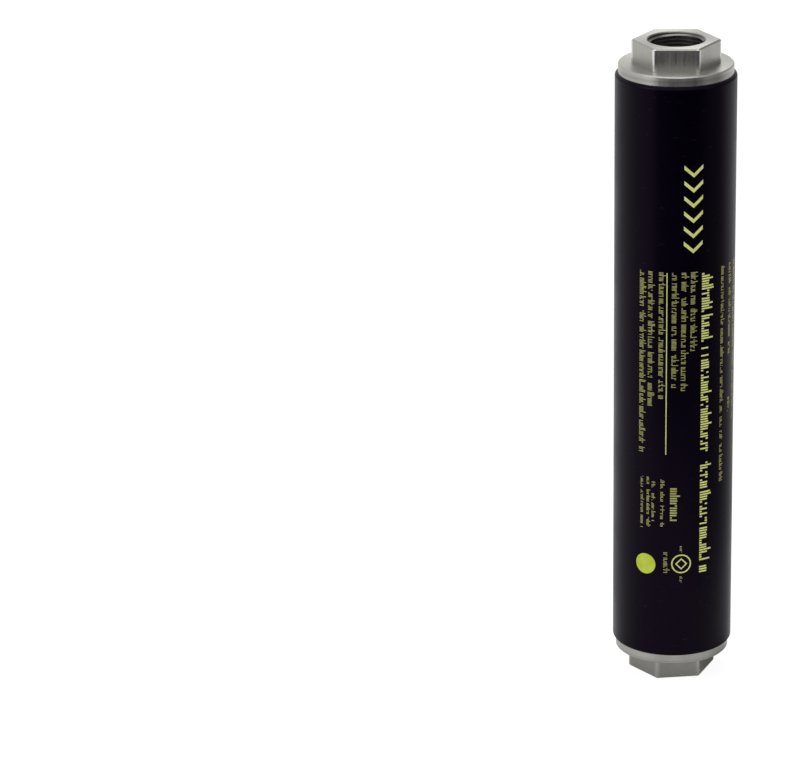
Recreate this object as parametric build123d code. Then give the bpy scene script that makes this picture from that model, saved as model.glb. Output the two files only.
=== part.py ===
"""Inline fuel filter: a rolled steel tube closed by two hexagonal pipe fittings, with a pleated element inside.

Millimetres. The axis is Z. The origin is the centre of the outlet fitting's end face, on which the filter
stands, and the inlet is at the top. Fuel enters at the inlet, spreads over the closed cap, runs down between
the tube and the element, passes inwards through the pleats and leaves through the core and the outlet.
"""

from build123d import *
from math import asin, atan, cos, hypot, pi, sin, sqrt, tan
import os

# Outside of the filter
SHELL_OD = 69.85
SHELL_WALL = 1.65
SHELL_LENGTH = 346.5
HEX_ACROSS_FLATS = 44.45
HEX_HEIGHT = 13.4
HEX_CORNER_RADIUS = 1.4
HEX_FACE_CHAMFER = 0.8
COLLAR_RADIUS = 33.05
COLLAR_HEIGHT = 5.5
COLLAR_CHAMFER = 0.6
OUTLET_CLOCKING = 9.5  # degrees that the outlet's hexagon is turned from the inlet's

# Rolled lip at each end of the tube
LIP_DEPTH = 1.0
LIP_TIP_RADIUS = 33.2
LIP_BEND = 2.0

# Plug of a fitting, inside the tube
FIT_CLEARANCE = 0.05
PLUG_LENGTH = 19.2
PLUG_LEAD_IN = 0.8
GLAND_WIDTH = 3.4
SEAL_WIDTH = 3.0
SEAL_THICKNESS = 2.1

# Female pipe thread, 1-11.5 NPT, bored to its root at half depth, and the tap drill's bore beyond it
THREAD_RADIUS = 16.3
THREAD_DEPTH = 22.0
THREAD_COUNTERSINK = 0.65
DRILL_RADIUS = 14.7

# End caps of the element, and the grommet on the neck of the open one
CAP_SHEET = 0.6
CAP_RADIUS = 29.0
CAP_RIM = 5.0
NECK_RADIUS = 12.2
NECK_LENGTH = 10.0
GROMMET_SLEEVE = 6.8
GROMMET_FLANGE = 2.5
GROMMET_RADIUS = 19.5
BOSS_RADIUS = 11.0
BOSS_HEIGHT = 2.0
EARS = 4
EAR_WIDTH = 8.0
EAR_LENGTH = 6.0
EAR_CLEARANCE = 0.15

# Pleat pack on its core
ELEMENT_LENGTH = 288.0
CORE_RADIUS = 13.5
CORE_SHEET = 0.6
SLOT_WIDTH = 4.0
SLOT_LENGTH = 16.0
SLOTS_AROUND = 5
SLOT_ROWS = 9
PLEATS = 30
PLEAT_OUTER_RADIUS = 27.2
PLEAT_INNER_RADIUS = 14.35
OUTER_FOLD = 2.3
INNER_FOLD = 1.0
MEDIA_THICKNESS = 0.7
MESH_THICKNESS = 0.25
SEAM_GAP = 0.05
POTTING_DEPTH = 3.5
POTTING_FLOOR = 1.0
CLIP_SHEET = 0.5
CLIP_DEPTH = 5.5

# Leaf spring between the closed cap and the inlet fitting
SPRING_SHEET = 0.8
SPRING_HOLE = 13.0
SPRING_RING = 20.0
SPRING_LEGS = 3
SPRING_LEG_WIDTH = 9.0
SPRING_BEND = 2.4
SPRING_TOE = 25.5
SPRING_REACH = 29.5

# Heights that follow
SHOULDER = HEX_HEIGHT + COLLAR_HEIGHT
OVERALL = SHELL_LENGTH + 2 * SHOULDER
LIP_KNEE = SHOULDER + LIP_DEPTH
PLUG_END = LIP_KNEE + PLUG_LENGTH
GLAND_MIDDLE = LIP_KNEE + PLUG_LENGTH / 2
OPEN_CAP = PLUG_END + GROMMET_FLANGE
CLOSED_CAP = OPEN_CAP + ELEMENT_LENGTH
MEDIA_LOW = OPEN_CAP + CAP_SHEET + POTTING_FLOOR
MEDIA_LENGTH = ELEMENT_LENGTH - 2 * (CAP_SHEET + POTTING_FLOOR)
SPRING_HEIGHT = OVERALL - PLUG_END - CLOSED_CAP

# Radii and other sizes that follow
SHELL_RADIUS = SHELL_OD / 2
SHELL_BORE = SHELL_RADIUS - SHELL_WALL
LIP_SLOPE = atan((SHELL_RADIUS - LIP_TIP_RADIUS) / LIP_DEPTH)
PLUG_RADIUS = SHELL_BORE - FIT_CLEARANCE
LAYERS = MEDIA_THICKNESS / 2 + MESH_THICKNESS  # from the middle of the media to the face of the mesh
SEAM = LAYERS + SEAM_GAP / 2  # from the seam to the middle of the media on either side


def section(*points):
    """Face in the XZ plane from points of radius and height."""
    return make_face(Plane.XZ * Polyline(*points, close=True))


def turned(face):
    return revolve(face, Axis.Z)


def at_inlet(shape):
    """A part of the outlet end, carried to the inlet end."""
    return Pos(0, 0, OVERALL) * Rot(180, 0, 0) * shape


def around(count, shape):
    """Copies of a shape, spread evenly about the axis."""
    return [Rot(0, 0, turn * 360 / count) * shape for turn in range(count)]


def offset_line(points, distance):
    """A bent line moved to its left by a distance, with mitred corners."""
    headings = []
    for (x0, y0), (x1, y1) in zip(points, points[1:]):
        length = hypot(x1 - x0, y1 - y0)
        headings.append(((x1 - x0) / length, (y1 - y0) / length))
    moved = []
    for (x, y), (ax, ay), (bx, by) in zip(points, headings[:1] + headings, headings + headings[-1:]):
        reach = distance / (1 + ax * bx + ay * by)
        moved.append((x - (ay + by) * reach, y + (ax + bx) * reach))
    return moved


def sheet(points, right, left):
    """Outline of a sheet along a bent line, from one distance to the line's left to another."""
    return offset_line(points, right) + offset_line(points, left)[::-1]


def lip_bend(depth):
    """Corner where the tube's end starts to roll in, at a depth below its outer face."""
    return SHELL_RADIUS - depth, LIP_KNEE + depth * tan(LIP_SLOPE / 2)


def lip_tip(depth):
    """Tip of the rolled lip, at a depth below its outer face."""
    return LIP_TIP_RADIUS - depth / cos(LIP_SLOPE), SHOULDER


def shell_tube():
    """Steel tube, rolled in at both ends over the shoulders of the fittings."""
    half = OVERALL / 2
    face = section(
        (SHELL_RADIUS, half),
        lip_bend(0),
        lip_tip(0),
        lip_tip(SHELL_WALL),
        lip_bend(SHELL_WALL),
        (SHELL_BORE, half),
    )
    bend = face.vertices().sort_by_distance(Vector(lip_bend(0)[0], 0, lip_bend(0)[1]))[0]
    lower = turned(fillet(bend, LIP_BEND))
    return lower + at_inlet(lower)


def hexagon():
    """Wrench hexagon of a fitting."""
    block = extrude(RegularPolygon(HEX_ACROSS_FLATS / 2, 6, major_radius=False), HEX_HEIGHT)
    block = fillet(block.edges().filter_by(Axis.Z), HEX_CORNER_RADIUS)
    return chamfer(block.faces().sort_by(Axis.Z)[0].edges(), HEX_FACE_CHAMFER)


def plug():
    """Collar, seat for the rolled lip, and plug with the gland of its seal."""
    seat = SHELL_WALL + FIT_CLEARANCE
    gland = SHELL_BORE - SEAL_THICKNESS
    gland_low = GLAND_MIDDLE - GLAND_WIDTH / 2
    gland_high = GLAND_MIDDLE + GLAND_WIDTH / 2
    face = section(
        (0, HEX_HEIGHT),
        (COLLAR_RADIUS - COLLAR_CHAMFER, HEX_HEIGHT),
        (COLLAR_RADIUS, HEX_HEIGHT + COLLAR_CHAMFER),
        (COLLAR_RADIUS, SHOULDER),
        lip_tip(seat),
        lip_bend(seat),
        (PLUG_RADIUS, gland_low),
        (gland, gland_low),
        (gland, gland_high),
        (PLUG_RADIUS, gland_high),
        (PLUG_RADIUS, PLUG_END - PLUG_LEAD_IN),
        (PLUG_RADIUS - PLUG_LEAD_IN, PLUG_END),
        (0, PLUG_END),
    )
    return turned(face)


def bore():
    """Countersink, thread and tap drill's bore, right through a fitting."""
    face = section(
        (0, 0),
        (THREAD_RADIUS + THREAD_COUNTERSINK, 0),
        (THREAD_RADIUS, THREAD_COUNTERSINK),
        (THREAD_RADIUS, THREAD_DEPTH),
        (DRILL_RADIUS, THREAD_DEPTH),
        (DRILL_RADIUS, PLUG_END),
        (0, PLUG_END),
    )
    return turned(face)


def fitting():
    """End fitting with a wrench hexagon. Both ends have the same one."""
    return hexagon() + plug() - bore()


def seal_ring():
    """Lathe-cut nitrile ring, squeezed between its gland and the tube."""
    low = GLAND_MIDDLE - SEAL_WIDTH / 2
    high = GLAND_MIDDLE + SEAL_WIDTH / 2
    inner = SHELL_BORE - SEAL_THICKNESS
    return turned(section((inner, low), (SHELL_BORE, low), (SHELL_BORE, high), (inner, high)))


def pressed_cap(path):
    """End cap pressed from sheet, from the middle line of its section."""
    return turned(section(*sheet(path, -CAP_SHEET / 2, CAP_SHEET / 2)))


def open_end_cap():
    """Cap at the outlet, with a neck that plugs into the fitting's bore."""
    plate = OPEN_CAP + CAP_SHEET / 2
    neck = NECK_RADIUS - CAP_SHEET / 2
    rim = CAP_RADIUS - CAP_SHEET / 2
    return pressed_cap([(neck, OPEN_CAP - NECK_LENGTH), (neck, plate), (rim, plate), (rim, OPEN_CAP + CAP_RIM)])


def closed_end_cap():
    """Cap at the inlet, with a boss for the spring and ears that centre the element in the tube."""
    plate = CLOSED_CAP - CAP_SHEET / 2
    rim = CAP_RADIUS - CAP_SHEET / 2
    edge = CLOSED_CAP - CAP_RIM
    boss = plate + BOSS_HEIGHT
    cap = pressed_cap([(0, boss), (BOSS_RADIUS, boss), (BOSS_RADIUS + 1, plate), (rim, plate), (rim, edge)])
    fold = edge + CAP_SHEET / 2
    reach = sqrt((SHELL_BORE - EAR_CLEARANCE) ** 2 - (EAR_WIDTH / 2) ** 2) - CAP_SHEET / 2
    path = [(rim - CAP_SHEET, fold), (reach, fold), (reach, fold - EAR_LENGTH)]
    ear = extrude(section(*sheet(path, -CAP_SHEET / 2, CAP_SHEET / 2)), EAR_WIDTH / 2, both=True)
    return cap + around(EARS, ear)


def outlet_grommet():
    """Rubber sleeve on the neck, with a flange that the spring squeezes against the outlet fitting."""
    face = section(
        (NECK_RADIUS, PLUG_END - GROMMET_SLEEVE),
        (DRILL_RADIUS, PLUG_END - GROMMET_SLEEVE),
        (DRILL_RADIUS, PLUG_END),
        (GROMMET_RADIUS, PLUG_END),
        (GROMMET_RADIUS, OPEN_CAP),
        (NECK_RADIUS, OPEN_CAP),
    )
    return turned(face)


def core_tube():
    """Slotted steel tube that the pleats rest on."""
    length = ELEMENT_LENGTH - 2 * CAP_SHEET
    tube = Cylinder(CORE_RADIUS, length) - Cylinder(CORE_RADIUS - CORE_SHEET, length)
    slot = Pos(CORE_RADIUS, 0, 0) * Box(4 * CORE_SHEET, SLOT_WIDTH, SLOT_LENGTH)
    row = around(SLOTS_AROUND, slot)
    pitch = length / (SLOT_ROWS + 0.5)
    stagger = 180 / SLOTS_AROUND
    for index in range(SLOT_ROWS):
        height = (index - (SLOT_ROWS - 1) / 2) * pitch
        tube -= [Pos(0, 0, height) * Rot(0, 0, index % 2 * stagger) * cut for cut in row]
    return Pos(0, 0, OPEN_CAP + ELEMENT_LENGTH / 2) * tube


def fold(radius, width, angle):
    """The two corners of a flat fold, a width across, at a radius and angle."""
    half = asin(width / 2 / radius)
    return [(radius * cos(turn), radius * sin(turn)) for turn in (angle - half, angle + half)]


def pleat_line():
    """Middle line of the media, anticlockwise from one end of the sheet at the clip to the other."""
    step = 2 * pi / PLEATS
    start = [(PLEAT_OUTER_RADIUS, SEAM), (PLEAT_OUTER_RADIUS - CLIP_DEPTH, SEAM)]
    line = start + fold(PLEAT_INNER_RADIUS, INNER_FOLD, step / 2)
    for pleat in range(1, PLEATS):
        line += fold(PLEAT_OUTER_RADIUS, OUTER_FOLD, pleat * step)
        line += fold(PLEAT_INNER_RADIUS, INNER_FOLD, (pleat + 0.5) * step)
    return line + [(x, -y) for x, y in reversed(start)]


def along_media(outline):
    """A solid as long as the media, from its outline across the axis."""
    return Pos(0, 0, MEDIA_LOW) * extrude(make_face(Polyline(*outline, close=True)), MEDIA_LENGTH)


def pleated_media():
    """Pleated filter paper."""
    return along_media(sheet(pleat_line(), -MEDIA_THICKNESS / 2, MEDIA_THICKNESS / 2))


def support_mesh():
    """Wire mesh pleated together with the paper, on its core side."""
    return along_media(sheet(pleat_line(), MEDIA_THICKNESS / 2, LAYERS))


def seam_clip():
    """Steel strip folded over the two ends of the pleated sheet, along its whole length."""
    side = SEAM + MEDIA_THICKNESS / 2
    start = PLEAT_OUTER_RADIUS - CLIP_DEPTH
    path = [(start, -side), (PLEAT_OUTER_RADIUS, -side), (PLEAT_OUTER_RADIUS, side), (start, side)]
    return along_media(sheet(path, -CLIP_SHEET, 0))


def potting(low, pleat_pack):
    """Ring of sealant cast in an end cap, round the core and the ends of the pleats."""
    ring = Cylinder(CAP_RADIUS - CAP_SHEET, POTTING_DEPTH) - Cylinder(CORE_RADIUS, POTTING_DEPTH)
    return Pos(0, 0, low + POTTING_DEPTH / 2) * ring - pleat_pack


def hold_down_spring():
    """Leaf spring round the cap's boss, whose legs push the element down on to its grommet."""
    middle = SPRING_SHEET / 2
    ring = Cylinder(SPRING_RING, SPRING_SHEET) - Cylinder(SPRING_HOLE, SPRING_SHEET)
    line = FilletPolyline(
        (SPRING_HOLE + SPRING_SHEET, middle),
        (SPRING_RING, middle),
        (SPRING_TOE, SPRING_HEIGHT - middle),
        (SPRING_REACH, SPRING_HEIGHT - middle),
        radius=SPRING_BEND,
    )
    leg = extrude(Plane.XZ * trace(line, SPRING_SHEET), SPRING_LEG_WIDTH / 2, both=True)
    return Pos(0, 0, CLOSED_CAP) * (Pos(0, 0, middle) * ring + around(SPRING_LEGS, leg))


def filter_parts():
    """Every piece of the filter, by the name of its node."""
    media, mesh, clip = pleated_media(), support_mesh(), seam_clip()
    pleat_pack = media + mesh + clip
    return {
        "shell_tube": shell_tube(),
        "inlet_fitting": at_inlet(fitting()),
        "outlet_fitting": Rot(0, 0, OUTLET_CLOCKING) * fitting(),
        "inlet_seal_ring": at_inlet(seal_ring()),
        "outlet_seal_ring": seal_ring(),
        "open_end_cap": open_end_cap(),
        "closed_end_cap": closed_end_cap(),
        "outlet_grommet": outlet_grommet(),
        "core_tube": core_tube(),
        "pleated_media": media,
        "support_mesh": mesh,
        "seam_clip": clip,
        "open_cap_potting": potting(OPEN_CAP + CAP_SHEET, pleat_pack),
        "closed_cap_potting": potting(CLOSED_CAP - CAP_SHEET - POTTING_DEPTH, pleat_pack),
        "hold_down_spring": hold_down_spring(),
    }


os.makedirs("parts", exist_ok=True)
for node, shape in filter_parts().items():
    export_step(shape, f"parts/{node}.step")
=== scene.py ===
import math

import bmesh
import bpy
from mathutils import Matrix, Vector


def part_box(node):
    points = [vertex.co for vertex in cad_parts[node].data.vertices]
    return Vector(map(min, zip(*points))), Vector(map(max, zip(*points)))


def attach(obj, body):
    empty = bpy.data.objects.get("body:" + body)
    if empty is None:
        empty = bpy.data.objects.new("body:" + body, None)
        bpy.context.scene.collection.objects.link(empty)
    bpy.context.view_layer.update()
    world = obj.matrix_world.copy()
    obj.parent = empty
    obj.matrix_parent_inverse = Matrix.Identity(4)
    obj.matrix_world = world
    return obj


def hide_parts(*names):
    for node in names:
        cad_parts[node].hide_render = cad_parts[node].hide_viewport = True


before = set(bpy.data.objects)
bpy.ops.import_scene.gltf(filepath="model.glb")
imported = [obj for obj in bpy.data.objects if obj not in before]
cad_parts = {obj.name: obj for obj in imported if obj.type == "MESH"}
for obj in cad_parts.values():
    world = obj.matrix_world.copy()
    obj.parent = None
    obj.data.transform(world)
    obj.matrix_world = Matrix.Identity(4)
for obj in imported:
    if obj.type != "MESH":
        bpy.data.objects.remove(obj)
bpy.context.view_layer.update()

MM = 0.001

# Tube, in millimetres
SHELL_RADIUS = 34.925
SHELL_WALL = 1.65
LIP_DEPTH = 1.0
LIP_TIP_RADIUS = 33.2
LIP_BEND = 2.0
RIM_ROUND = 0.3
INK_THICKNESS = 0.018
INK_DEPTH = 0.06  # from the ink's face down into the paint
INK_MARGIN = 0.001  # keeps the ink's face just inside the tube's box
TUBE_FACETS = 256

# End fittings
HEX_HEIGHT = 13.4
HEX_INSIDE = 22.225
HEX_CORNER = 25.3
COLLAR_RADIUS = 33.05

# Female pipe thread, 1-11.5 NPT
THREAD_PITCH = 25.4 / 11.5
THREAD_START = 0.6
THREAD_DEPTH = 21.5
THREAD_BASE = 16.5
THREAD_CREST = 14.95
THREAD_TAPER = 1 / 32
THREAD_FLAT = 0.16
THREAD_GAP = 0.1
THREAD_FACETS = 64

TUBE_LOW, TUBE_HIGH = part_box("shell_tube")
SHOULDER = TUBE_LOW.z / MM
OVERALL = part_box("inlet_fitting")[1].z / MM
INK_RADIUS = min(-TUBE_LOW.x, TUBE_HIGH.x, -TUBE_LOW.y, TUBE_HIGH.y) / MM - INK_MARGIN
PAINT_RADIUS = INK_RADIUS - INK_THICKNESS


# ---------------------------------------------------------------- node helpers

def node(tree, kind, **settings):
    """A new node, with its properties and its inputs' values set by name."""
    made = tree.nodes.new(kind)
    for name, value in settings.items():
        if hasattr(made, name):
            setattr(made, name, value)
        else:
            made.inputs[name.replace("_", " ")].default_value = value
    return made


def math_node(tree, operation, first, second=None, third=None):
    """The output of a Math node, from sockets or numbers."""
    made = node(tree, "ShaderNodeMath", operation=operation)
    for socket, value in zip(made.inputs, (first, second, third)):
        if value is None:
            continue
        if isinstance(value, bpy.types.NodeSocket):
            tree.links.new(value, socket)
        else:
            socket.default_value = value
    return made.outputs[0]


def product(tree, first, second):
    """Two sockets or numbers multiplied."""
    return math_node(tree, "MULTIPLY", first, second)


def spread(tree, value, low_in, high_in, low_out=0.0, high_out=1.0):
    """A value carried smoothly from one range to another, and held at its ends."""
    made = node(tree, "ShaderNodeMapRange", interpolation_type="SMOOTHSTEP", From_Min=low_in,
                From_Max=high_in, To_Min=low_out, To_Max=high_out)
    tree.links.new(value, made.inputs["Value"])
    return made.outputs["Result"]


def spread_mm(tree, value, low_in, high_in, low_out=0.0, high_out=1.0):
    """The same, where the first range is given in millimetres."""
    return spread(tree, value, low_in * MM, high_in * MM, low_out, high_out)


def mixed_colour(tree, amount, first, second):
    """A colour between two, by a mask."""
    made = node(tree, "ShaderNodeMix", data_type="RGBA")
    for socket, value in zip((made.inputs[0], made.inputs[6], made.inputs[7]), (amount, first, second)):
        if isinstance(value, bpy.types.NodeSocket):
            tree.links.new(value, socket)
        elif isinstance(value, (int, float)):
            socket.default_value = value
        else:
            socket.default_value = (*value, 1)
    return made.outputs[2]


def noise(tree, vector, scale, detail=3.0, roughness=0.55, distortion=0.0):
    """Values of a noise texture, with its scale from a socket or a number."""
    made = node(tree, "ShaderNodeTexNoise", Detail=detail, Roughness=roughness, Distortion=distortion)
    tree.links.new(vector, made.inputs["Vector"])
    if isinstance(scale, bpy.types.NodeSocket):
        tree.links.new(scale, made.inputs["Scale"])
    else:
        made.inputs["Scale"].default_value = scale
    return made.outputs["Fac"]


def object_place(tree):
    """Object coordinates, in metres."""
    return tree.nodes.new("ShaderNodeTexCoord").outputs["Object"]


def split(tree, vector):
    """The X, Y and Z sockets of a vector."""
    made = tree.nodes.new("ShaderNodeSeparateXYZ")
    tree.links.new(vector, made.inputs[0])
    return made.outputs


def joined(tree, x=None, y=None, z=None):
    """A vector from sockets, with 0 for an axis that has none."""
    made = tree.nodes.new("ShaderNodeCombineXYZ")
    for socket, value in zip(made.inputs, (x, y, z)):
        if value is not None:
            tree.links.new(value, socket)
    return made.outputs[0]


def from_axis(tree, axes):
    """Distance from the Z axis."""
    squares = [product(tree, axis, axis) for axis in (axes[0], axes[1])]
    return math_node(tree, "SQRT", math_node(tree, "ADD", *squares))


def scaled(tree, vector, factors):
    """A vector multiplied axis by axis."""
    made = node(tree, "ShaderNodeVectorMath", operation="MULTIPLY")
    tree.links.new(vector, made.inputs[0])
    made.inputs[1].default_value = factors
    return made.outputs[0]


def new_group(name, inputs, outputs):
    """An empty shader node group. Returns its tree, the sockets it is given and the sockets it fills."""
    tree = bpy.data.node_groups.new(name, "ShaderNodeTree")
    for label, value in inputs:
        socket = tree.interface.new_socket(label, in_out="INPUT", socket_type="NodeSocketFloat")
        socket.default_value = value
    for label in outputs:
        tree.interface.new_socket(label, in_out="OUTPUT", socket_type="NodeSocketFloat")
    start = tree.nodes.new("NodeGroupInput")
    end = tree.nodes.new("NodeGroupOutput")
    return tree, start.outputs, end.inputs


# ---------------------------------------------------------------- shared finishes

def grain_group():
    """Fine even grain, with slow cloudy patches over it."""
    inputs = [("Grain Scale", 900), ("Patch Scale", 30)]
    tree, given, out = new_group("Fine Grain", inputs, ["Grain", "Patches"])
    place = object_place(tree)
    patches = noise(tree, place, given["Patch Scale"], detail=3, roughness=0.6, distortion=0.4)
    tree.links.new(noise(tree, place, given["Grain Scale"], detail=2), out["Grain"])
    tree.links.new(patches, out["Patches"])
    return tree


def turning_group():
    """Marks of a lathe: fine rings on the ends, fine rings round the sides, and a few deeper ones."""
    inputs = [("Rings per Metre", 3200), ("Wobble", 0.00004)]
    tree, given, out = new_group("Turning Marks", inputs, ["Rings", "Deep Rings"])
    place = object_place(tree)
    axes = split(tree, place)
    drift = product(tree, noise(tree, place, 60, detail=2), given["Wobble"])
    line = joined(tree, math_node(tree, "ADD", from_axis(tree, axes), drift), axes[2])
    rings = noise(tree, line, given["Rings per Metre"], detail=2, roughness=0.7)
    coarse = product(tree, given["Rings per Metre"], 0.22)
    deep = noise(tree, line, coarse, detail=1, roughness=0.5)
    tree.links.new(rings, out["Rings"])
    tree.links.new(spread(tree, deep, 0.58, 0.72), out["Deep Rings"])
    return tree


def scratch_group():
    """Short scratches in a few directions, and rubbed patches."""
    inputs = [("Scratch Scale", 60), ("Amount", 0.5)]
    tree, given, out = new_group("Handling", inputs, ["Scratches", "Rubbed"])
    place = object_place(tree)
    total = None
    for turn, stretch in ((0.4, 14), (-0.9, 18), (1.35, 11)):
        angles = (turn, turn * 0.6, turn * 1.7)
        mapping = node(tree, "ShaderNodeMapping", Rotation=angles, Scale=(1, stretch, stretch))
        tree.links.new(place, mapping.inputs["Vector"])
        streaks = noise(tree, mapping.outputs[0], given["Scratch Scale"], detail=1, roughness=0.4)
        line = spread(tree, streaks, 0.74, 0.80)
        total = line if total is None else math_node(tree, "MAXIMUM", total, line)
    tree.links.new(product(tree, total, given["Amount"]), out["Scratches"])
    rubbed = noise(tree, place, 22, detail=4, roughness=0.65, distortion=0.6)
    tree.links.new(product(tree, spread(tree, rubbed, 0.42, 0.68), given["Amount"]), out["Rubbed"])
    return tree


GRAIN = grain_group()
TURNING = turning_group()
HANDLING = scratch_group()


def use(tree, group, **values):
    """A group placed in a material, with its inputs set by name."""
    made = tree.nodes.new("ShaderNodeGroup")
    made.node_tree = group
    for name, value in values.items():
        made.inputs[name.replace("_", " ")].default_value = value
    return made.outputs


def new_material(name, **constants):
    """A material with one Principled BSDF, and the values that are the same all over it."""
    made = bpy.data.materials.new(name)
    made.use_nodes = True
    shader = made.node_tree.nodes["Principled BSDF"]
    for label, value in constants.items():
        shader.inputs[label.replace("_", " ")].default_value = value
    return made, made.node_tree, shader


def bumped(tree, shader, height, distance, strength):
    """A Bump node that feeds the shader's normal."""
    bump = node(tree, "ShaderNodeBump", Distance=distance, Strength=strength)
    tree.links.new(height, bump.inputs["Height"])
    tree.links.new(bump.outputs[0], shader.inputs["Normal"])


# ---------------------------------------------------------------- materials

EDGE_WEAR_AND_HIGHLIGHT = 0.2  # wear and painted highlight of the collar's edge, against the hexagon's corners
OUTLET_WEAR_AND_HIGHLIGHT = 0.35  # wear and painted highlight of the outlet fitting, against the inlet's
WIRE_WAVE = 0.9  # millimetres, with two wires to each wave


def black_paint():
    """Satin black paint on the tube."""
    made, tree, shader = new_material("satin_black_paint", IOR=1.35, Specular_IOR_Level=0.12,
                                      Specular_Tint=(1.0, 0.7, 1.0, 1.0))
    grain = use(tree, GRAIN, Grain_Scale=1500, Patch_Scale=24)
    handling = use(tree, HANDLING, Scratch_Scale=45, Amount=0.35)
    shade = mixed_colour(tree, grain["Patches"], (0.0008, 0.0001, 0.0032), (0.0013, 0.0003, 0.0046))
    shade = mixed_colour(tree, handling["Scratches"], shade, (0.02, 0.019, 0.022))
    tree.links.new(shade, shader.inputs["Base Color"])
    rough = spread(tree, grain["Patches"], 0.3, 0.7, 0.30, 0.36)
    rough = math_node(tree, "ADD", rough, product(tree, handling["Rubbed"], 0.10))
    tree.links.new(rough, shader.inputs["Roughness"])
    bumped(tree, shader, grain["Grain"], 0.00003, 0.35)
    return made


def steel_zones(tree, place):
    """Masks over a fitting: corners and edges that are lighter from wear and a painted highlight, the
    hexagon's flats, and the threaded bore, which gets painted shade.

    Levels are heights above or below the middle of the filter, so that they fit both ends.
    """
    axes = split(tree, place)
    radius = from_axis(tree, axes)
    end = OVERALL / 2
    foot = end - HEX_HEIGHT
    level = math_node(tree, "ABSOLUTE", math_node(tree, "SUBTRACT", axes[2], end * MM))
    on_hexagon = spread_mm(tree, level, foot, foot + 0.3)
    corners = product(tree, spread_mm(tree, radius, HEX_CORNER - 0.8, HEX_CORNER - 0.1), on_hexagon)
    edge = product(tree, spread_mm(tree, radius, COLLAR_RADIUS - 0.7, COLLAR_RADIUS - 0.4),
                   spread_mm(tree, level, foot - 0.9, foot - 0.5))
    # Corners and the collar's edge are lightened: partly wear, partly a painted highlight, weaker on the
    # outlet fitting
    wear_and_highlight = math_node(tree, "MAXIMUM", corners, product(tree, edge, EDGE_WEAR_AND_HIGHLIGHT))
    wear_and_highlight = product(tree, wear_and_highlight, spread_mm(tree, axes[2], end * 0.5, end * 1.5, OUTLET_WEAR_AND_HIGHLIGHT, 1.0))
    sides = product(tree, spread_mm(tree, radius, HEX_INSIDE - 0.4, HEX_INSIDE - 0.1),
                    spread_mm(tree, level, end - 0.2, end - 0.05, 1.0, 0.0))
    # Painted shade: everything inside the thread's radius is darkened
    bore = spread_mm(tree, radius, THREAD_BASE - 0.2, THREAD_BASE + 0.5, 1.0, 0.0)
    return wear_and_highlight, product(tree, sides, on_hexagon), bore


def turned_steel():
    """Dull nickel on turned steel, lighter along its edges from wear and a painted highlight, with drawn
    flats and painted shade darkening the bore.
    """
    made, tree, shader = new_material("dull_nickel", Metallic=1.0, Anisotropic=0.7, Anisotropic_Rotation=0.25)
    grain = use(tree, GRAIN, Grain_Scale=1800, Patch_Scale=55)
    rings = use(tree, TURNING, Rings_per_Metre=2400)
    handling = use(tree, HANDLING, Scratch_Scale=70, Amount=0.6)
    place = object_place(tree)
    drawn = noise(tree, scaled(tree, place, (1, 1, 0.03)), 900, detail=2, roughness=0.6)
    wear_and_highlight, flats, bore = steel_zones(tree, place)
    turned = math_node(tree, "SUBTRACT", 1.0, flats)
    deep = product(tree, rings["Deep Rings"], product(tree, turned, 0.55))
    shade = mixed_colour(tree, grain["Patches"], (0.33, 0.325, 0.30), (0.41, 0.405, 0.38))
    shade = mixed_colour(tree, deep, shade, (0.22, 0.215, 0.20))
    shade = mixed_colour(tree, product(tree, handling["Scratches"], 0.5), shade, (0.55, 0.54, 0.52))
    # Wear and painted highlight: the corners and the collar's edge turn a lighter nickel
    shade = mixed_colour(tree, wear_and_highlight, shade, (0.68, 0.675, 0.65))
    # Painted shade in the bore: the colour turns near black there
    shade = mixed_colour(tree, product(tree, bore, 0.85), shade, (0.10, 0.097, 0.09))
    tree.links.new(shade, shader.inputs["Base Color"])
    rough = spread(tree, drawn, 0.3, 0.7, 0.32, 0.42)
    rough = math_node(tree, "SUBTRACT", rough, product(tree, handling["Rubbed"], 0.06))
    rough = math_node(tree, "SUBTRACT", rough, product(tree, wear_and_highlight, 0.08))
    tree.links.new(rough, shader.inputs["Roughness"])
    tangent = node(tree, "ShaderNodeTangent", direction_type="RADIAL", axis="Z")
    tree.links.new(tangent.outputs[0], shader.inputs["Tangent"])
    height = math_node(tree, "MULTIPLY_ADD", drawn, 0.6, product(tree, rings["Rings"], turned))
    bumped(tree, shader, height, 0.00004, 0.6)
    return made


def print_ink(name, dark, light):
    """Screen-printed ink, thinner in patches."""
    made, tree, shader = new_material(name, Specular_IOR_Level=0.2)
    grain = use(tree, GRAIN, Grain_Scale=1300, Patch_Scale=160)
    uneven = math_node(tree, "MULTIPLY_ADD", grain["Grain"], 0.4, product(tree, grain["Patches"], 0.6))
    cover = spread(tree, uneven, 0.3, 0.65)
    tree.links.new(mixed_colour(tree, cover, dark, light), shader.inputs["Base Color"])
    tree.links.new(spread(tree, grain["Grain"], 0.3, 0.7, 0.45, 0.6), shader.inputs["Roughness"])
    bumped(tree, shader, grain["Grain"], 0.00002, 0.4)
    return made


def nitrile():
    """Black nitrile rubber."""
    made, tree, shader = new_material("nitrile", Specular_IOR_Level=0.35)
    grain = use(tree, GRAIN, Grain_Scale=2400, Patch_Scale=90)
    bloom = spread(tree, grain["Patches"], 0.45, 0.75)
    shade = mixed_colour(tree, bloom, (0.012, 0.012, 0.012), (0.03, 0.03, 0.029))
    tree.links.new(shade, shader.inputs["Base Color"])
    tree.links.new(spread(tree, grain["Grain"], 0.3, 0.7, 0.5, 0.68), shader.inputs["Roughness"])
    bumped(tree, shader, grain["Grain"], 0.00003, 0.5)
    return made


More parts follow.
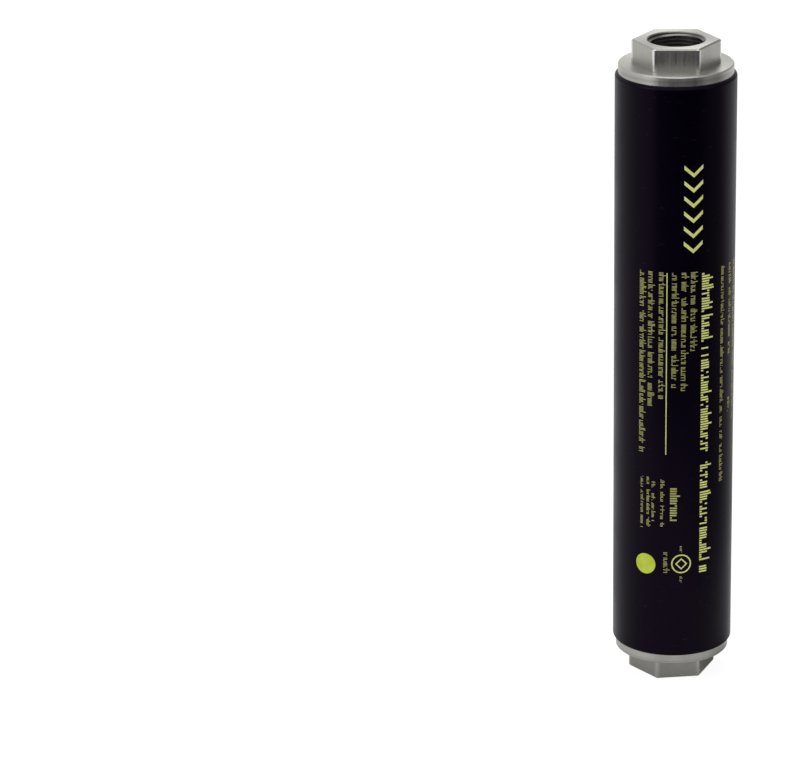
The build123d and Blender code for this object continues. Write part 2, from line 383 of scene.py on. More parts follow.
def tinplate():
    """Bright tinplate, rubbed and scratched by its press tools."""
    made, tree, shader = new_material("pressed_tinplate", Metallic=1.0)
    grain = use(tree, GRAIN, Grain_Scale=700, Patch_Scale=70)
    handling = use(tree, HANDLING, Scratch_Scale=90, Amount=0.4)
    shade = mixed_colour(tree, grain["Patches"], (0.56, 0.56, 0.54), (0.68, 0.68, 0.66))
    shade = mixed_colour(tree, handling["Scratches"], shade, (0.40, 0.40, 0.39))
    tree.links.new(shade, shader.inputs["Base Color"])
    rough = spread(tree, grain["Patches"], 0.3, 0.7, 0.26, 0.34)
    rough = math_node(tree, "ADD", rough, product(tree, handling["Rubbed"], 0.3))
    tree.links.new(rough, shader.inputs["Roughness"])
    bumped(tree, shader, grain["Grain"], 0.00002, 0.2)
    return made


def filter_paper():
    """Resin-treated filter paper with a fibrous face."""
    made, tree, shader = new_material("filter_paper", Specular_IOR_Level=0.25)
    grain = use(tree, GRAIN, Grain_Scale=1600, Patch_Scale=45)
    drawn_out = scaled(tree, object_place(tree), (1, 1, 0.25))
    fibres = noise(tree, drawn_out, 1400, detail=4, roughness=0.75, distortion=1.5)
    fibres = spread(tree, fibres, 0.4, 0.62)
    shade = mixed_colour(tree, grain["Patches"], (0.66, 0.53, 0.30), (0.80, 0.69, 0.45))
    shade = mixed_colour(tree, product(tree, fibres, 0.5), shade, (0.88, 0.81, 0.62))
    tree.links.new(shade, shader.inputs["Base Color"])
    tree.links.new(spread(tree, fibres, 0, 1, 0.82, 0.94), shader.inputs["Roughness"])
    bumped(tree, shader, math_node(tree, "ADD", fibres, grain["Grain"]), 0.00006, 0.6)
    return made


def woven_wire():
    """Woven wire: crossed wires, with painted shade for the holes between them."""
    made, tree, shader = new_material("woven_wire")
    axes = split(tree, object_place(tree))
    wires = []
    for along in (from_axis(tree, axes), axes[2]):
        wave = math_node(tree, "SINE", product(tree, along, 2 * math.pi / (WIRE_WAVE * MM)))
        wires.append(spread(tree, math_node(tree, "ABSOLUTE", wave), 0.35, 0.9))
    wire = math_node(tree, "MAXIMUM", *wires)
    # Painted shade: the holes between the wires are near black
    shade = mixed_colour(tree, wire, (0.05, 0.045, 0.035), (0.58, 0.58, 0.56))
    tree.links.new(shade, shader.inputs["Base Color"])
    tree.links.new(wire, shader.inputs["Metallic"])
    tree.links.new(spread(tree, wire, 0, 1, 0.8, 0.32), shader.inputs["Roughness"])
    bumped(tree, shader, wire, 0.0001, 0.8)
    return made


def sealant():
    """Cast plastisol sealant, with a few pinholes darkened by painted shade."""
    made, tree, shader = new_material("plastisol", Specular_IOR_Level=0.4)
    grain = use(tree, GRAIN, Grain_Scale=500, Patch_Scale=60)
    pores = spread(tree, grain["Grain"], 0.66, 0.74)
    shade = mixed_colour(tree, grain["Patches"], (0.46, 0.15, 0.09), (0.60, 0.23, 0.14))
    # Painted shade in the pinholes: they turn a darker red
    tree.links.new(mixed_colour(tree, pores, shade, (0.22, 0.07, 0.05)), shader.inputs["Base Color"])
    tree.links.new(spread(tree, grain["Patches"], 0.3, 0.7, 0.35, 0.5), shader.inputs["Roughness"])
    bumped(tree, shader, math_node(tree, "SUBTRACT", grain["Patches"], pores), 0.0001, 0.5)
    return made


def blued_spring():
    """Blued spring steel, browner in patches."""
    made, tree, shader = new_material("blued_spring_steel", Metallic=1.0)
    grain = use(tree, GRAIN, Grain_Scale=900, Patch_Scale=80)
    handling = use(tree, HANDLING, Scratch_Scale=80, Amount=0.7)
    shade = mixed_colour(tree, grain["Patches"], (0.13, 0.15, 0.21), (0.26, 0.22, 0.20))
    shade = mixed_colour(tree, handling["Scratches"], shade, (0.42, 0.41, 0.40))
    tree.links.new(shade, shader.inputs["Base Color"])
    tree.links.new(spread(tree, grain["Patches"], 0.3, 0.7, 0.28, 0.4), shader.inputs["Roughness"])
    bumped(tree, shader, grain["Grain"], 0.00002, 0.3)
    return made


# ---------------------------------------------------------------- meshes

def smooth_faces(mesh, sharp_above):
    """Smooth shading, apart from edges sharper than an angle in degrees."""
    mesh.shade_smooth()
    mesh.set_sharp_from_angle(angle=math.radians(sharp_above))


def mesh_object(name, bm, material):
    """A finished piece from a bmesh, in metres, with its normals outwards."""
    bmesh.ops.recalc_face_normals(bm, faces=bm.faces)
    mesh = bpy.data.meshes.new(name)
    bm.to_mesh(mesh)
    bm.free()
    mesh.materials.append(material)
    smooth_faces(mesh, 30)
    made = bpy.data.objects.new(name, mesh)
    bpy.context.scene.collection.objects.link(made)
    return made


def lathe(name, profile, facets, material):
    """A closed ring-shaped solid, from a closed outline of radius and height in millimetres."""
    bm = bmesh.new()
    rings = []
    for step in range(facets):
        turn = 2 * math.pi * step / facets
        rings.append([bm.verts.new((r * MM * math.cos(turn), r * MM * math.sin(turn), z * MM))
                      for r, z in profile])
    for ring, following in zip(rings, rings[1:] + rings[:1]):
        for index in range(len(profile)):
            other = (index + 1) % len(profile)
            bm.faces.new((ring[index], following[index], following[other], ring[other]))
    return mesh_object(name, bm, material)


def rounded(before, corner, after, radius, steps):
    """Points of a corner rounded to a radius."""
    corner, a, b = Vector(corner), Vector(before), Vector(after)
    first, second = (a - corner).normalized(), (b - corner).normalized()
    half = math.acos(max(-1, min(1, first.dot(second)))) / 2
    back = radius / math.tan(half)
    centre = corner + (first + second).normalized() * (radius / math.sin(half))
    start, end = corner + first * back - centre, corner + second * back - centre
    sweep = start.angle_signed(end)
    turned = []
    for step in range(steps + 1):
        angle = -sweep * step / steps
        turned.append(centre + Vector((start.x * math.cos(angle) - start.y * math.sin(angle),
                                       start.x * math.sin(angle) + start.y * math.cos(angle))))
    return [tuple(point) for point in turned]


def shell_profile():
    """Outline of the tube's wall, from the middle of its outside round the lower lip, and mirrored above."""
    outside = PAINT_RADIUS
    half = OVERALL / 2
    knee = (outside, SHOULDER + LIP_DEPTH)
    tip = (LIP_TIP_RADIUS, SHOULDER)
    slope = math.atan((SHELL_RADIUS - LIP_TIP_RADIUS) / LIP_DEPTH)
    inner_tip = (LIP_TIP_RADIUS - SHELL_WALL / math.cos(slope), SHOULDER)
    inner_knee = (SHELL_RADIUS - SHELL_WALL, SHOULDER + LIP_DEPTH + SHELL_WALL * math.tan(slope / 2))
    lower = [(outside, half)]
    lower += rounded((outside, half), knee, tip, LIP_BEND, 12)
    lower += rounded(knee, tip, inner_tip, RIM_ROUND, 4)
    lower += [inner_tip, inner_knee, (SHELL_RADIUS - SHELL_WALL, half)]
    upper = [(r, OVERALL - z) for r, z in reversed(lower[1:-1])]
    return lower + upper


def shell_skin(material):
    """The painted tube, rolled in at both ends."""
    return lathe("shell_skin", shell_profile(), TUBE_FACETS, material)


# ---------------------------------------------------------------- pipe threads

def geometry_tree(name, inputs):
    """An empty geometry node group: the source geometry, named inputs and one geometry output."""
    tree = bpy.data.node_groups.new(name, "GeometryNodeTree")
    tree.interface.new_socket("Geometry", in_out="INPUT", socket_type="NodeSocketGeometry")
    for label, kind, value in inputs:
        socket = tree.interface.new_socket(label, in_out="INPUT", socket_type="NodeSocket" + kind)
        if value is not None:
            socket.default_value = value
    tree.interface.new_socket("Geometry", in_out="OUTPUT", socket_type="NodeSocketGeometry")
    return tree, tree.nodes.new("NodeGroupInput").outputs, tree.nodes.new("NodeGroupOutput").inputs


def finish_tree(tree, geometry, material, out):
    """Realize Instances and Set Material, at the end of a tree."""
    real = tree.nodes.new("GeometryNodeRealizeInstances")
    coat = tree.nodes.new("GeometryNodeSetMaterial")
    tree.links.new(geometry, real.inputs[0])
    tree.links.new(real.outputs[0], coat.inputs["Geometry"])
    tree.links.new(material, coat.inputs["Material"])
    tree.links.new(coat.outputs[0], out[0])


def grown(name, source, tree, values):
    """The plain mesh that a geometry tree makes from a source mesh."""
    seed = bpy.data.objects.new(name, source)
    bpy.context.scene.collection.objects.link(seed)
    modifier = seed.modifiers.new("grow", "NODES")
    modifier.node_group = tree
    for item in tree.interface.items_tree:
        if item.item_type == "SOCKET" and item.in_out == "INPUT" and item.name in values:
            modifier[item.identifier] = values[item.name]
    bpy.context.view_layer.update()
    evaluated = seed.evaluated_get(bpy.context.evaluated_depsgraph_get())
    mesh = bpy.data.meshes.new_from_object(evaluated)
    seed.modifiers.remove(modifier)
    seed.data = mesh
    mesh.name = name
    return seed


def thread_tree():
    """A helical rib: a profile swept along a tapered spiral."""
    tree, given, out = geometry_tree("Pipe Thread", [
        ("Turns", "Float", 9.0), ("Start Radius", "Float", 0.016), ("End Radius", "Float", 0.015),
        ("Height", "Float", 0.02), ("Points per Turn", "Int", 64), ("Material", "Material", None)])
    spiral = tree.nodes.new("GeometryNodeCurveSpiral")
    tree.links.new(given["Turns"], spiral.inputs["Rotations"])
    tree.links.new(given["Points per Turn"], spiral.inputs["Resolution"])
    for label in ("Start Radius", "End Radius", "Height"):
        tree.links.new(given[label], spiral.inputs[label])
    upright = node(tree, "GeometryNodeSetCurveNormal", mode="Z_UP")
    tree.links.new(spiral.outputs[0], upright.inputs[0])
    profile = tree.nodes.new("GeometryNodeMeshToCurve")
    tree.links.new(given["Geometry"], profile.inputs[0])
    sweep = node(tree, "GeometryNodeCurveToMesh", Fill_Caps=True)
    tree.links.new(upright.outputs[0], sweep.inputs["Curve"])
    tree.links.new(profile.outputs[0], sweep.inputs["Profile Curve"])
    finish_tree(tree, sweep.outputs[0], given["Material"], out)
    return tree


def thread_profile():
    """The rib's section about the spiral: a base in the metal, flanks at 60 degrees and a flat crest."""
    reach = THREAD_BASE - THREAD_CREST
    wide = (THREAD_PITCH - THREAD_GAP) / 2
    mesh = bpy.data.meshes.new("thread_profile")
    points = [(-wide, reach), (-THREAD_FLAT, 0), (THREAD_FLAT, 0), (wide, reach)]
    mesh.from_pydata([(-y * MM, x * MM, 0) for x, y in points], [(0, 1), (1, 2), (2, 3), (3, 0)], [])
    return mesh


def pipe_thread(name, material, tree, at_inlet):
    """The thread of one bore, from its mouth inwards."""
    length = THREAD_DEPTH - THREAD_START - THREAD_PITCH
    made = grown(name, thread_profile(), tree, {
        "Turns": length / THREAD_PITCH, "Points per Turn": THREAD_FACETS, "Height": length * MM,
        "Start Radius": THREAD_CREST * MM, "End Radius": (THREAD_CREST - length * THREAD_TAPER) * MM,
        "Material": material})
    place = Matrix.Translation((0, 0, (THREAD_START + THREAD_PITCH / 2) * MM))
    if at_inlet:
        place = Matrix.Translation((0, 0, OVERALL * MM)) @ Matrix.Rotation(math.pi, 4, "X") @ place
    made.data.transform(place)
    bm = bmesh.new()
    bm.from_mesh(made.data)
    bmesh.ops.remove_doubles(bm, verts=bm.verts, dist=1e-7)
    bmesh.ops.recalc_face_normals(bm, faces=bm.faces)
    bm.to_mesh(made.data)
    bm.free()
    smooth_faces(made.data, 25)
    return made


# ---------------------------------------------------------------- printing on the tube
# A place on the tube is its arc, in millimetres to the right from the side that faces -Y, and its height.

ROUND_POINTS = 40
ROW_LABELS = ("row_height", "row_across")  # ticks' height, and 1 for a row that runs round the tube
WORD_NOISE_SCALE = 130
UNEVEN_WORDS = 1.1
SEED_STEP = 17
TALL_CHANCE = 0.12
SHORT_CHANCE = 0.30
LOW_TICK = 0.66  # of a tall tick's height
SHORTENED = 0.46  # of a tall tick's height, taken off a low tick
PRINT_TOP = 256
BLOCK_ROWS = 5
BLOCK_PITCH = 6.6
ARROWS = 6
ARROW_PITCH = 9.0
SIGN_PLACE = (4.9, 77.6)


def wrapped(arc, height, lift):
    """A point on the tube: lift is up to 0, the ink's face, and down to -INK_DEPTH, inside the paint."""
    turn = arc / SHELL_RADIUS
    radius = INK_RADIUS + lift
    return (radius * math.sin(turn) * MM, -radius * math.cos(turn) * MM, height * MM)


def flat_shapes(bm, outlines):
    """Faces in the plane of arc and height, cut every millimetre of arc so that they can bend."""
    for outline in outlines:
        bm.faces.new([bm.verts.new((x, y, 0)) for x, y in outline])
    arcs = [v.co.x for v in bm.verts]
    cut = math.floor(min(arcs)) + 0.5
    while cut < max(arcs):
        everything = bm.verts[:] + bm.edges[:] + bm.faces[:]
        bmesh.ops.bisect_plane(bm, geom=everything, plane_co=(cut, 0, 0), plane_no=(1, 0, 0))
        cut += 1.0


def printed(name, outlines, material):
    """Flat shapes of ink, as thin slabs bent round the tube."""
    bm = bmesh.new()
    flat_shapes(bm, outlines)
    fronts, rims = bm.faces[:], [edge for edge in bm.edges if edge.is_boundary]
    below = {vert: bm.verts.new((vert.co.x, vert.co.y, -INK_DEPTH)) for vert in bm.verts[:]}
    for first, second in (edge.verts for edge in rims):
        bm.faces.new((first, second, below[second], below[first]))
    for face in fronts:
        bm.faces.new([below[vert] for vert in reversed(face.verts)])
    for vert in bm.verts:
        vert.co = wrapped(*vert.co)
    return mesh_object(name, bm, material)


def bar(left, right, bottom, top):
    """A rectangle."""
    return [(left, bottom), (right, bottom), (right, top), (left, top)]


def disc(arc, height, radius):
    """A round dot."""
    turns = [2 * math.pi * step / ROUND_POINTS for step in range(ROUND_POINTS)]
    return [(arc + radius * math.cos(turn), height + radius * math.sin(turn)) for turn in turns]


def ring(arc, height, radius, width, points=ROUND_POINTS):
    """A ring as a row of quads, or with 4 points a diamond."""
    quads = []
    for step in range(points):
        a, b = (2 * math.pi * (step + extra) / points for extra in (0, 1))
        quads.append([(arc + r * math.cos(t), height + r * math.sin(t))
                      for r, t in ((radius, a), (radius, b), (radius - width, b), (radius - width, a))])
    return quads


def chevron(arc, height, half_width, drop, stroke):
    """The two strokes of an open arrowhead that points down, towards the outlet."""
    left, right, lifted = arc - half_width, arc + half_width, height + drop
    return [[(left, lifted), (arc, height), (arc, height + stroke), (left, lifted + stroke)],
            [(arc, height), (right, lifted), (right, lifted + stroke), (arc, height + stroke)]]


def chosen(tree, pick, low_value, high_value):
    """One value where a mask is 0, and another where it is 1."""
    return math_node(tree, "MULTIPLY_ADD", pick, high_value - low_value, low_value)


def tick_tree():
    """Rows of ticks that stand on the source's edges, broken into words, then bent round the tube."""
    tree, given, out = geometry_tree("Printed Ticks", [
        ("Radius", "Float", 0.035), ("Ink Depth", "Float", 0.00006), ("Pitch", "Float", 0.001),
        ("Tick Width", "Float", 0.0005), ("Cuts", "Int", 5), ("Word Length", "Float", 0.009),
        ("Word Gap", "Float", 0.0014), ("Seed", "Int", 1), ("Material", "Material", None)])
    rows = tree.nodes.new("GeometryNodeMeshToCurve")
    tree.links.new(given["Geometry"], rows.inputs[0])
    along = node(tree, "GeometryNodeCurveToPoints", mode="LENGTH")
    tree.links.new(rows.outputs[0], along.inputs["Curve"])
    tree.links.new(given["Pitch"], along.inputs["Length"])
    row_height, across = (node(tree, "GeometryNodeInputNamedAttribute", Name=label).outputs[0]
                          for label in ROW_LABELS)
    down = math_node(tree, "SUBTRACT", 1.0, across)

    # Words: gaps at uneven distances along a row
    axes = split(tree, tree.nodes.new("GeometryNodeInputPosition").outputs[0])
    travel = math_node(tree, "MULTIPLY_ADD", axes[0], across, product(tree, axes[1], down))
    uneven = node(tree, "ShaderNodeTexNoise", Detail=0, Scale=WORD_NOISE_SCALE)
    words = math_node(tree, "ADD", math_node(tree, "DIVIDE", travel, given["Word Length"]),
                      product(tree, uneven.outputs["Fac"], UNEVEN_WORDS))
    gap_share = math_node(tree, "DIVIDE", given["Word Gap"], given["Word Length"])
    gap = math_node(tree, "LESS_THAN", math_node(tree, "FRACT", words), gap_share)
    kept = tree.nodes.new("GeometryNodeDeleteGeometry")
    tree.links.new(along.outputs["Points"], kept.inputs["Geometry"])
    tree.links.new(gap, kept.inputs["Selection"])

    # Ticks: some tall and some short, and a short one stands at the foot or the top of the low ones
    chance = []
    for extra in range(3):
        draw = tree.nodes.new("FunctionNodeRandomValue")
        tree.links.new(math_node(tree, "ADD", given["Seed"], float(extra * SEED_STEP)), draw.inputs["Seed"])
        chance.append(draw.outputs[1])
    tall = math_node(tree, "GREATER_THAN", chance[0], 1.0 - TALL_CHANCE)
    short = math_node(tree, "LESS_THAN", chance[0], SHORT_CHANCE)
    share = math_node(tree, "ADD", chosen(tree, tall, LOW_TICK, 1.0), chosen(tree, short, 0.0, -SHORTENED))
    share = product(tree, share, chosen(tree, chance[1], 0.9, 1.05))
    lift = product(tree, product(tree, short, math_node(tree, "ROUND", chance[2])), SHORTENED)
    lift = product(tree, lift, row_height)
    offset = joined(tree, product(tree, lift, down), product(tree, lift, across))
    lifted = tree.nodes.new("GeometryNodeSetPosition")
    tree.links.new(kept.outputs[0], lifted.inputs["Geometry"])
    tree.links.new(offset, lifted.inputs["Offset"])
    size = joined(tree, product(tree, row_height, share), given["Tick Width"], given["Ink Depth"])
    turn = joined(tree, z=product(tree, across, math.pi / 2))
    slab = tree.nodes.new("GeometryNodeMeshCube")
    tree.links.new(given["Cuts"], slab.inputs["Vertices X"])
    stood = node(tree, "GeometryNodeTransform", Translation=(0.5, 0, -0.5))
    tree.links.new(slab.outputs[0], stood.inputs[0])
    ticks = tree.nodes.new("GeometryNodeInstanceOnPoints")
    for source, label in ((lifted.outputs[0], "Points"), (stood.outputs[0], "Instance"),
                          (turn, "Rotation"), (size, "Scale")):
        tree.links.new(source, ticks.inputs[label])

    # The bend: arc to angle, height to Z, and the height above the ink's face to radius
    real = tree.nodes.new("GeometryNodeRealizeInstances")
    tree.links.new(ticks.outputs[0], real.inputs[0])
    angle = math_node(tree, "DIVIDE", axes[0], given["Radius"])
    reach = math_node(tree, "ADD", given["Radius"], axes[2])
    right = product(tree, reach, math_node(tree, "SINE", angle))
    back = product(tree, product(tree, reach, math_node(tree, "COSINE", angle)), -1.0)
    wrap = tree.nodes.new("GeometryNodeSetPosition")
    tree.links.new(real.outputs[0], wrap.inputs["Geometry"])
    tree.links.new(joined(tree, right, back, axes[1]), wrap.inputs["Position"])
    finish_tree(tree, wrap.outputs[0], given["Material"], out)
    return tree


def tick_rows(name, rows, tree, material, **values):
    """Rows of printed ticks. A row is the arc and height where it starts and where it ends, and the height
    of its ticks."""
    mesh = bpy.data.meshes.new(name)
    points, edges, tall, across = [], [], [], []
    for arc, height, last_arc, last_height, size in rows:
        edges.append((len(points), len(points) + 1))
        points += [(arc * MM, height * MM, 0), (last_arc * MM, last_height * MM, 0)]
        tall += [size * MM] * 2
        across += [float(height == last_height)] * 2
    mesh.from_pydata(points, edges, [])
    for label, numbers in zip(ROW_LABELS, (tall, across)):
        mesh.attributes.new(label, "FLOAT", "POINT").data.foreach_set("value", numbers)
    values |= {"Radius": INK_RADIUS * MM, "Ink Depth": INK_DEPTH * MM, "Material": material}
    made = grown(name, mesh, tree, values)
    for label in ROW_LABELS:
        if label in made.data.attributes:
            made.data.attributes.remove(made.data.attributes[label])
    return made


def down_rows(tall, *rows):
    """Rows that run down the tube, from the arc of their feet and their upper and lower heights."""
    return [(arc, top, arc, bottom, tall) for arc, top, bottom in rows]


def front_rows():
    """Small print on the side that faces -Y."""
    upper = down_rows(4.2, (9.1, PRINT_TOP, 209), (3.7, PRINT_TOP, 185), (-1.8, PRINT_TOP, 187),
                      (-9.3, PRINT_TOP, 180), (-15.8, PRINT_TOP, 175), (-21.3, PRINT_TOP, 146))
    lower = down_rows(2.4, (-20.0, 130.5, 99), (-16.1, 130.5, 100), (-12.9, 128, 104), (-7.6, 130, 101))
    by_dot = down_rows(3.6, (-5.6, 84.5, 70.5))
    by_sign = down_rows(1.8, (4.0, 88.5, 85.0), (4.0, 69.5, 66.0))
    return upper + lower + by_dot + by_sign


def back_rows():
    """Small print round the right-hand side and the back, with a block of short rows near each end."""
    rows = down_rows(3.4, (30.0, PRINT_TOP, 125), (38.0, PRINT_TOP, 200), (38.0, 174, 166),
                     (44.5, PRINT_TOP, 157), (53.6, PRINT_TOP, 184), (58.2, PRINT_TOP, 211),
                     (58.2, 190, 178), (63.6, PRINT_TOP, 167), (73.3, PRINT_TOP, 198),
                     (77.6, PRINT_TOP, 192), (82.4, PRINT_TOP, 170))
    for step in range(BLOCK_ROWS):
        for first, indent in ((311.0, 3), (72.0, 4)):
            height = first - step * BLOCK_PITCH
            rows.append((55.0, height, 73.0 - step % 2 * indent, height, 3.6))
    return rows


def printing(lime, pale, thin):
    """All the print on the tube, without lettering: ticks in rows, rules, a dot, a ring and flow arrows."""
    tree = tick_tree()
    small = {"Pitch": 0.78 * MM, "Tick Width": 0.42 * MM, "Word Length": 8.5 * MM, "Word Gap": 1.3 * MM}
    large = {"Pitch": 1.5 * MM, "Tick Width": 0.96 * MM, "Word Length": 22.0 * MM, "Word Gap": 2.6 * MM,
             "Cuts": 8}
    title, part = down_rows(7.6, (15.9, 254.5, 71.5)), down_rows(6.0, (-1.9, 124.5, 105))
    rules = [bar(-4.87, -4.33, 145.5, PRINT_TOP), bar(50.7, 51.3, 111, PRINT_TOP),
             bar(70.1, 70.7, 111, PRINT_TOP)]
    arrows = []
    for step in range(ARROWS):
        arrows += chevron(10.4, 267.5 + step * ARROW_PITCH, half_width=5.6, drop=5.0, stroke=2.4)
    for height in (319.0, 79.0):
        arrows += chevron(64.0, height, half_width=3.4, drop=3.0, stroke=1.3)
    sign = ring(*SIGN_PLACE, radius=5.9, width=0.8) + ring(*SIGN_PLACE, radius=3.6, width=1.0, points=4)
    return [
        tick_rows("front_print", front_rows(), tree, thin, Seed=3, **small),
        tick_rows("back_print", back_rows(), tree, thin, Seed=5, **small),
        tick_rows("title_print", title, tree, pale, Seed=8, **large),
        tick_rows("part_print", part, tree, thin, Seed=11, **large),
        printed("print_rules", rules, pale),
        printed("flow_arrows", arrows, pale),
        printed("print_dot", [disc(-16.6, 76.4, radius=6.3)], lime),
        printed("filter_sign", sign, pale),
    ]


# ---------------------------------------------------------------- stage

DARK_ROOM = (0.026, 0.018, 0.034)
ROOM_TURN = 0.15  # of the dark part, to the right
HIGH_LIGHT = 0.8  # added where it is bright above the dark part
FILL_LIGHT = 0.45
FLOOR_HEIGHT = -0.0002
FLOOR_GLOW = 1.28
GLOW_SHARE = 0.7
TOP_AIM = (0, 0, 0.36)
MIDDLE_AIM = (0, 0, 0.2)
CAMERA_PLACE = (-0.02687, -2.38902, 1.0369)
CAMERA_ANGLES = (19.897, -3.182, -0.843)  # degrees of pitch, yaw and roll
CAMERA_LENS = 195.75
SENSOR_WIDTH = 36


def mixed_shader(tree, amount, first, second):
    """A mix of two shader nodes, by a mask."""
    made = tree.nodes.new("ShaderNodeMixShader")
    tree.links.new(amount, made.inputs[0])
    tree.links.new(first.outputs[0], made.inputs[1])
    tree.links.new(second.outputs[0], made.inputs[2])
    return made


def studio_world():
    """A white background and an even fill light. Metal mirrors it dark low in front, and white elsewhere."""
    world = bpy.data.worlds.new("studio")
    bpy.context.scene.world = world
    world.use_nodes = True
    tree = world.node_tree
    tree.nodes.clear()
    path = tree.nodes.new("ShaderNodeLightPath")
    right, back, up = split(tree, tree.nodes.new("ShaderNodeTexCoord").outputs["Generated"])
    turned = math_node(tree, "MULTIPLY_ADD", right, -ROOM_TURN, back)
    high_front = product(tree, spread(tree, up, 0.2, 0.4), spread(tree, back, -0.7, -0.3, 1.0, 0.0))
    bright = math_node(tree, "MAXIMUM", spread(tree, turned, -0.80, -0.52), high_front)
    strength = math_node(tree, "MULTIPLY_ADD", high_front, HIGH_LIGHT,
                         spread(tree, right, 0.1, 0.7, 0.9, 0.4))
    white = node(tree, "ShaderNodeBackground", Color=(1, 1, 1, 1), Strength=1.0)
    fill = node(tree, "ShaderNodeBackground", Color=(1, 1, 1, 1), Strength=FILL_LIGHT)
    mirrored = tree.nodes.new("ShaderNodeBackground")
    tree.links.new(mixed_colour(tree, bright, DARK_ROOM, (1, 1, 1)), mirrored.inputs["Color"])
    tree.links.new(strength, mirrored.inputs["Strength"])
    lit = mixed_shader(tree, path.outputs["Is Glossy Ray"], fill, mirrored)
    seen = math_node(tree, "MAXIMUM", path.outputs["Is Camera Ray"], path.outputs["Is Transmission Ray"])
    final = mixed_shader(tree, seen, lit, white)
    tree.links.new(final.outputs[0], tree.nodes.new("ShaderNodeOutputWorld").inputs[0])


def mirrored_dimming(tree, place):
    """How much darker metal mirrors the floor, as painted shade: on the right, and as a painted shadow in two
    spots round the filter's foot.
    """
    right, back, _ = split(tree, place)
    dimmed = product(tree, spread(tree, right, 0.03, 0.35), spread(tree, back, 0.0, 0.6, 0.85, 0.0))
    # Painted shadow: two spots round the foot, seen only in what metal mirrors
    for centre, full, none, depth in ((0.0, 0.034, 0.08, 0.68), (0.04, 0.012, 0.05, 0.92)):
        away = node(tree, "ShaderNodeVectorMath", operation="DISTANCE")
        tree.links.new(place, away.inputs[0])
        away.inputs[1].default_value = (centre, 0, 0)
        spot = spread(tree, away.outputs["Value"], full, none, depth, 0.0)
        dimmed = math_node(tree, "MAXIMUM", dimmed, spot)
    return dimmed


def paper_floor():
    """White paper under the filter, which shows its shadow softly. It ends in front, outside the view."""
    bm = bmesh.new()
    corners = [(-3.0, -0.42), (3.0, -0.42), (3.0, 4.0), (-3.0, 4.0)]
    bm.faces.new([bm.verts.new((x, y, FLOOR_HEIGHT)) for x, y in corners])
    made = bpy.data.materials.new("white_paper")
    made.use_nodes = True
    tree = made.node_tree
    tree.nodes.clear()
    place = object_place(tree)
    paper = tree.nodes.new("ShaderNodeBsdfDiffuse")
    shade = mixed_colour(tree, noise(tree, place, 40), (0.84, 0.84, 0.84), (0.88, 0.88, 0.88))
    tree.links.new(shade, paper.inputs["Color"])
    path = tree.nodes.new("ShaderNodeLightPath")
    dimmed = product(tree, path.outputs["Is Glossy Ray"], mirrored_dimming(tree, place))
    glow = tree.nodes.new("ShaderNodeEmission")
    left = math_node(tree, "SUBTRACT", 1.0, dimmed)
    tree.links.new(product(tree, left, FLOOR_GLOW), glow.inputs["Strength"])
    seen = math_node(tree, "MAXIMUM", path.outputs["Is Glossy Ray"], path.outputs["Is Transmission Ray"])
    seen = math_node(tree, "MAXIMUM", path.outputs["Is Camera Ray"], seen)
    surface = mixed_shader(tree, product(tree, seen, GLOW_SHARE), paper, glow)
    tree.links.new(surface.outputs[0], tree.nodes.new("ShaderNodeOutputMaterial").inputs[0])
    floor = mesh_object("paper_floor", bm, made)


def softbox(name, place, aim, width, height, radiance):
    """A rectangular lamp that faces a point, with a given brightness of its face."""
    light = bpy.data.lights.new(name, "AREA")
    light.shape = "RECTANGLE"
    light.size, light.size_y = width, height
    light.energy = radiance * width * height * math.pi
    lamp = bpy.data.objects.new(name, light)
    lamp.location = place
    lamp.visible_camera = False
    lamp.rotation_euler = (Vector(place) - Vector(aim)).to_track_quat("Z", "Y").to_euler()
    bpy.context.scene.collection.objects.link(lamp)


def lamps():
    """Soft lamps behind, above and to both sides."""
    softbox("back_softbox", (0.2, 1.55, 1.35), TOP_AIM, width=0.4, height=0.5, radiance=3.6)
    softbox("overhead_softbox", (0.0, 0.42, 1.7), TOP_AIM, width=0.9, height=0.8, radiance=3.0)
    softbox("left_softbox", (-1.7, -1.1, 1.3), MIDDLE_AIM, width=1.0, height=1.2, radiance=3.2)
    softbox("right_softbox", (1.9, -0.9, 1.2), MIDDLE_AIM, width=0.7, height=1.0, radiance=1.6)


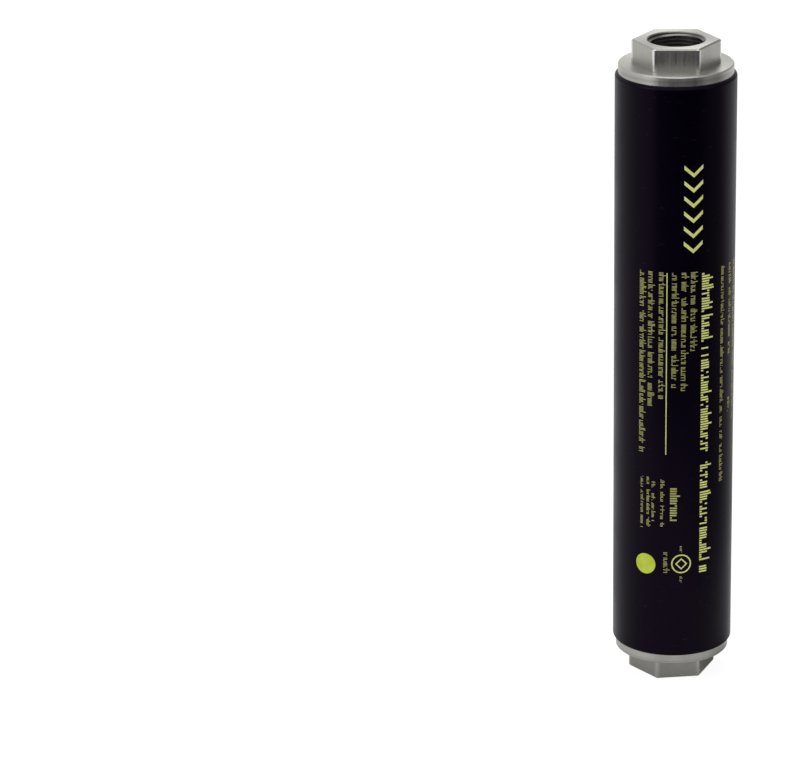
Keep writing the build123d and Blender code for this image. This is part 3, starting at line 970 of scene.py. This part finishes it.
def camera():
    """The camera: 20 degrees above the horizon, with a long lens."""
    pitch, yaw, roll = (math.radians(angle) for angle in CAMERA_ANGLES)
    forward = Vector((math.sin(yaw) * math.cos(pitch), math.cos(yaw) * math.cos(pitch), -math.sin(pitch)))
    level = Vector((math.cos(yaw), -math.sin(yaw), 0))
    upward = level.cross(forward)
    right = math.cos(roll) * level + math.sin(roll) * upward
    up = -math.sin(roll) * level + math.cos(roll) * upward
    data = bpy.data.cameras.new("camera")
    data.sensor_fit = "HORIZONTAL"
    data.sensor_width = SENSOR_WIDTH
    data.lens = CAMERA_LENS
    data.clip_end = 50
    made = bpy.data.objects.new("camera", data)
    turn = Matrix((right, up, -forward)).transposed().to_4x4()
    made.matrix_world = Matrix.Translation(CAMERA_PLACE) @ turn
    bpy.context.scene.collection.objects.link(made)
    bpy.context.scene.camera = made


def paint_nodes(material, *names):
    """Gives CAD nodes their material."""
    for name in names:
        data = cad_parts[name].data
        data.materials.clear()
        data.materials.append(material)


def dress_filter():
    """Gives the CAD nodes their finishes, and adds the tube's skin, the threads and the print."""
    steel = turned_steel()
    tin, rubber, potting = tinplate(), nitrile(), sealant()
    paint_nodes(steel, "inlet_fitting", "outlet_fitting")
    paint_nodes(rubber, "inlet_seal_ring", "outlet_seal_ring", "outlet_grommet")
    paint_nodes(tin, "open_end_cap", "closed_end_cap", "core_tube", "seam_clip")
    paint_nodes(filter_paper(), "pleated_media")
    paint_nodes(woven_wire(), "support_mesh")
    paint_nodes(potting, "open_cap_potting", "closed_cap_potting")
    paint_nodes(blued_spring(), "hold_down_spring")

    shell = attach(shell_skin(black_paint()), "root")
    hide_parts("shell_tube")
    tree = thread_tree()
    for name, at_inlet in (("inlet_thread", True), ("outlet_thread", False)):
        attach(pipe_thread(name, steel, tree, at_inlet), "root")
    lime = print_ink("lime_ink", (0.52, 0.63, 0.04), (0.66, 0.77, 0.09))
    pale = print_ink("pale_lime_ink", (0.72, 0.77, 0.19), (0.90, 0.94, 0.34))
    thin = print_ink("thin_lime_ink", (0.37, 0.36, 0.10), (0.53, 0.52, 0.19))
    for piece in printing(lime, pale, thin):
        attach(piece, "root")


dress_filter()
camera()
studio_world()
paper_floor()
lamps()
bpy.context.scene.view_settings.view_transform = "Standard"
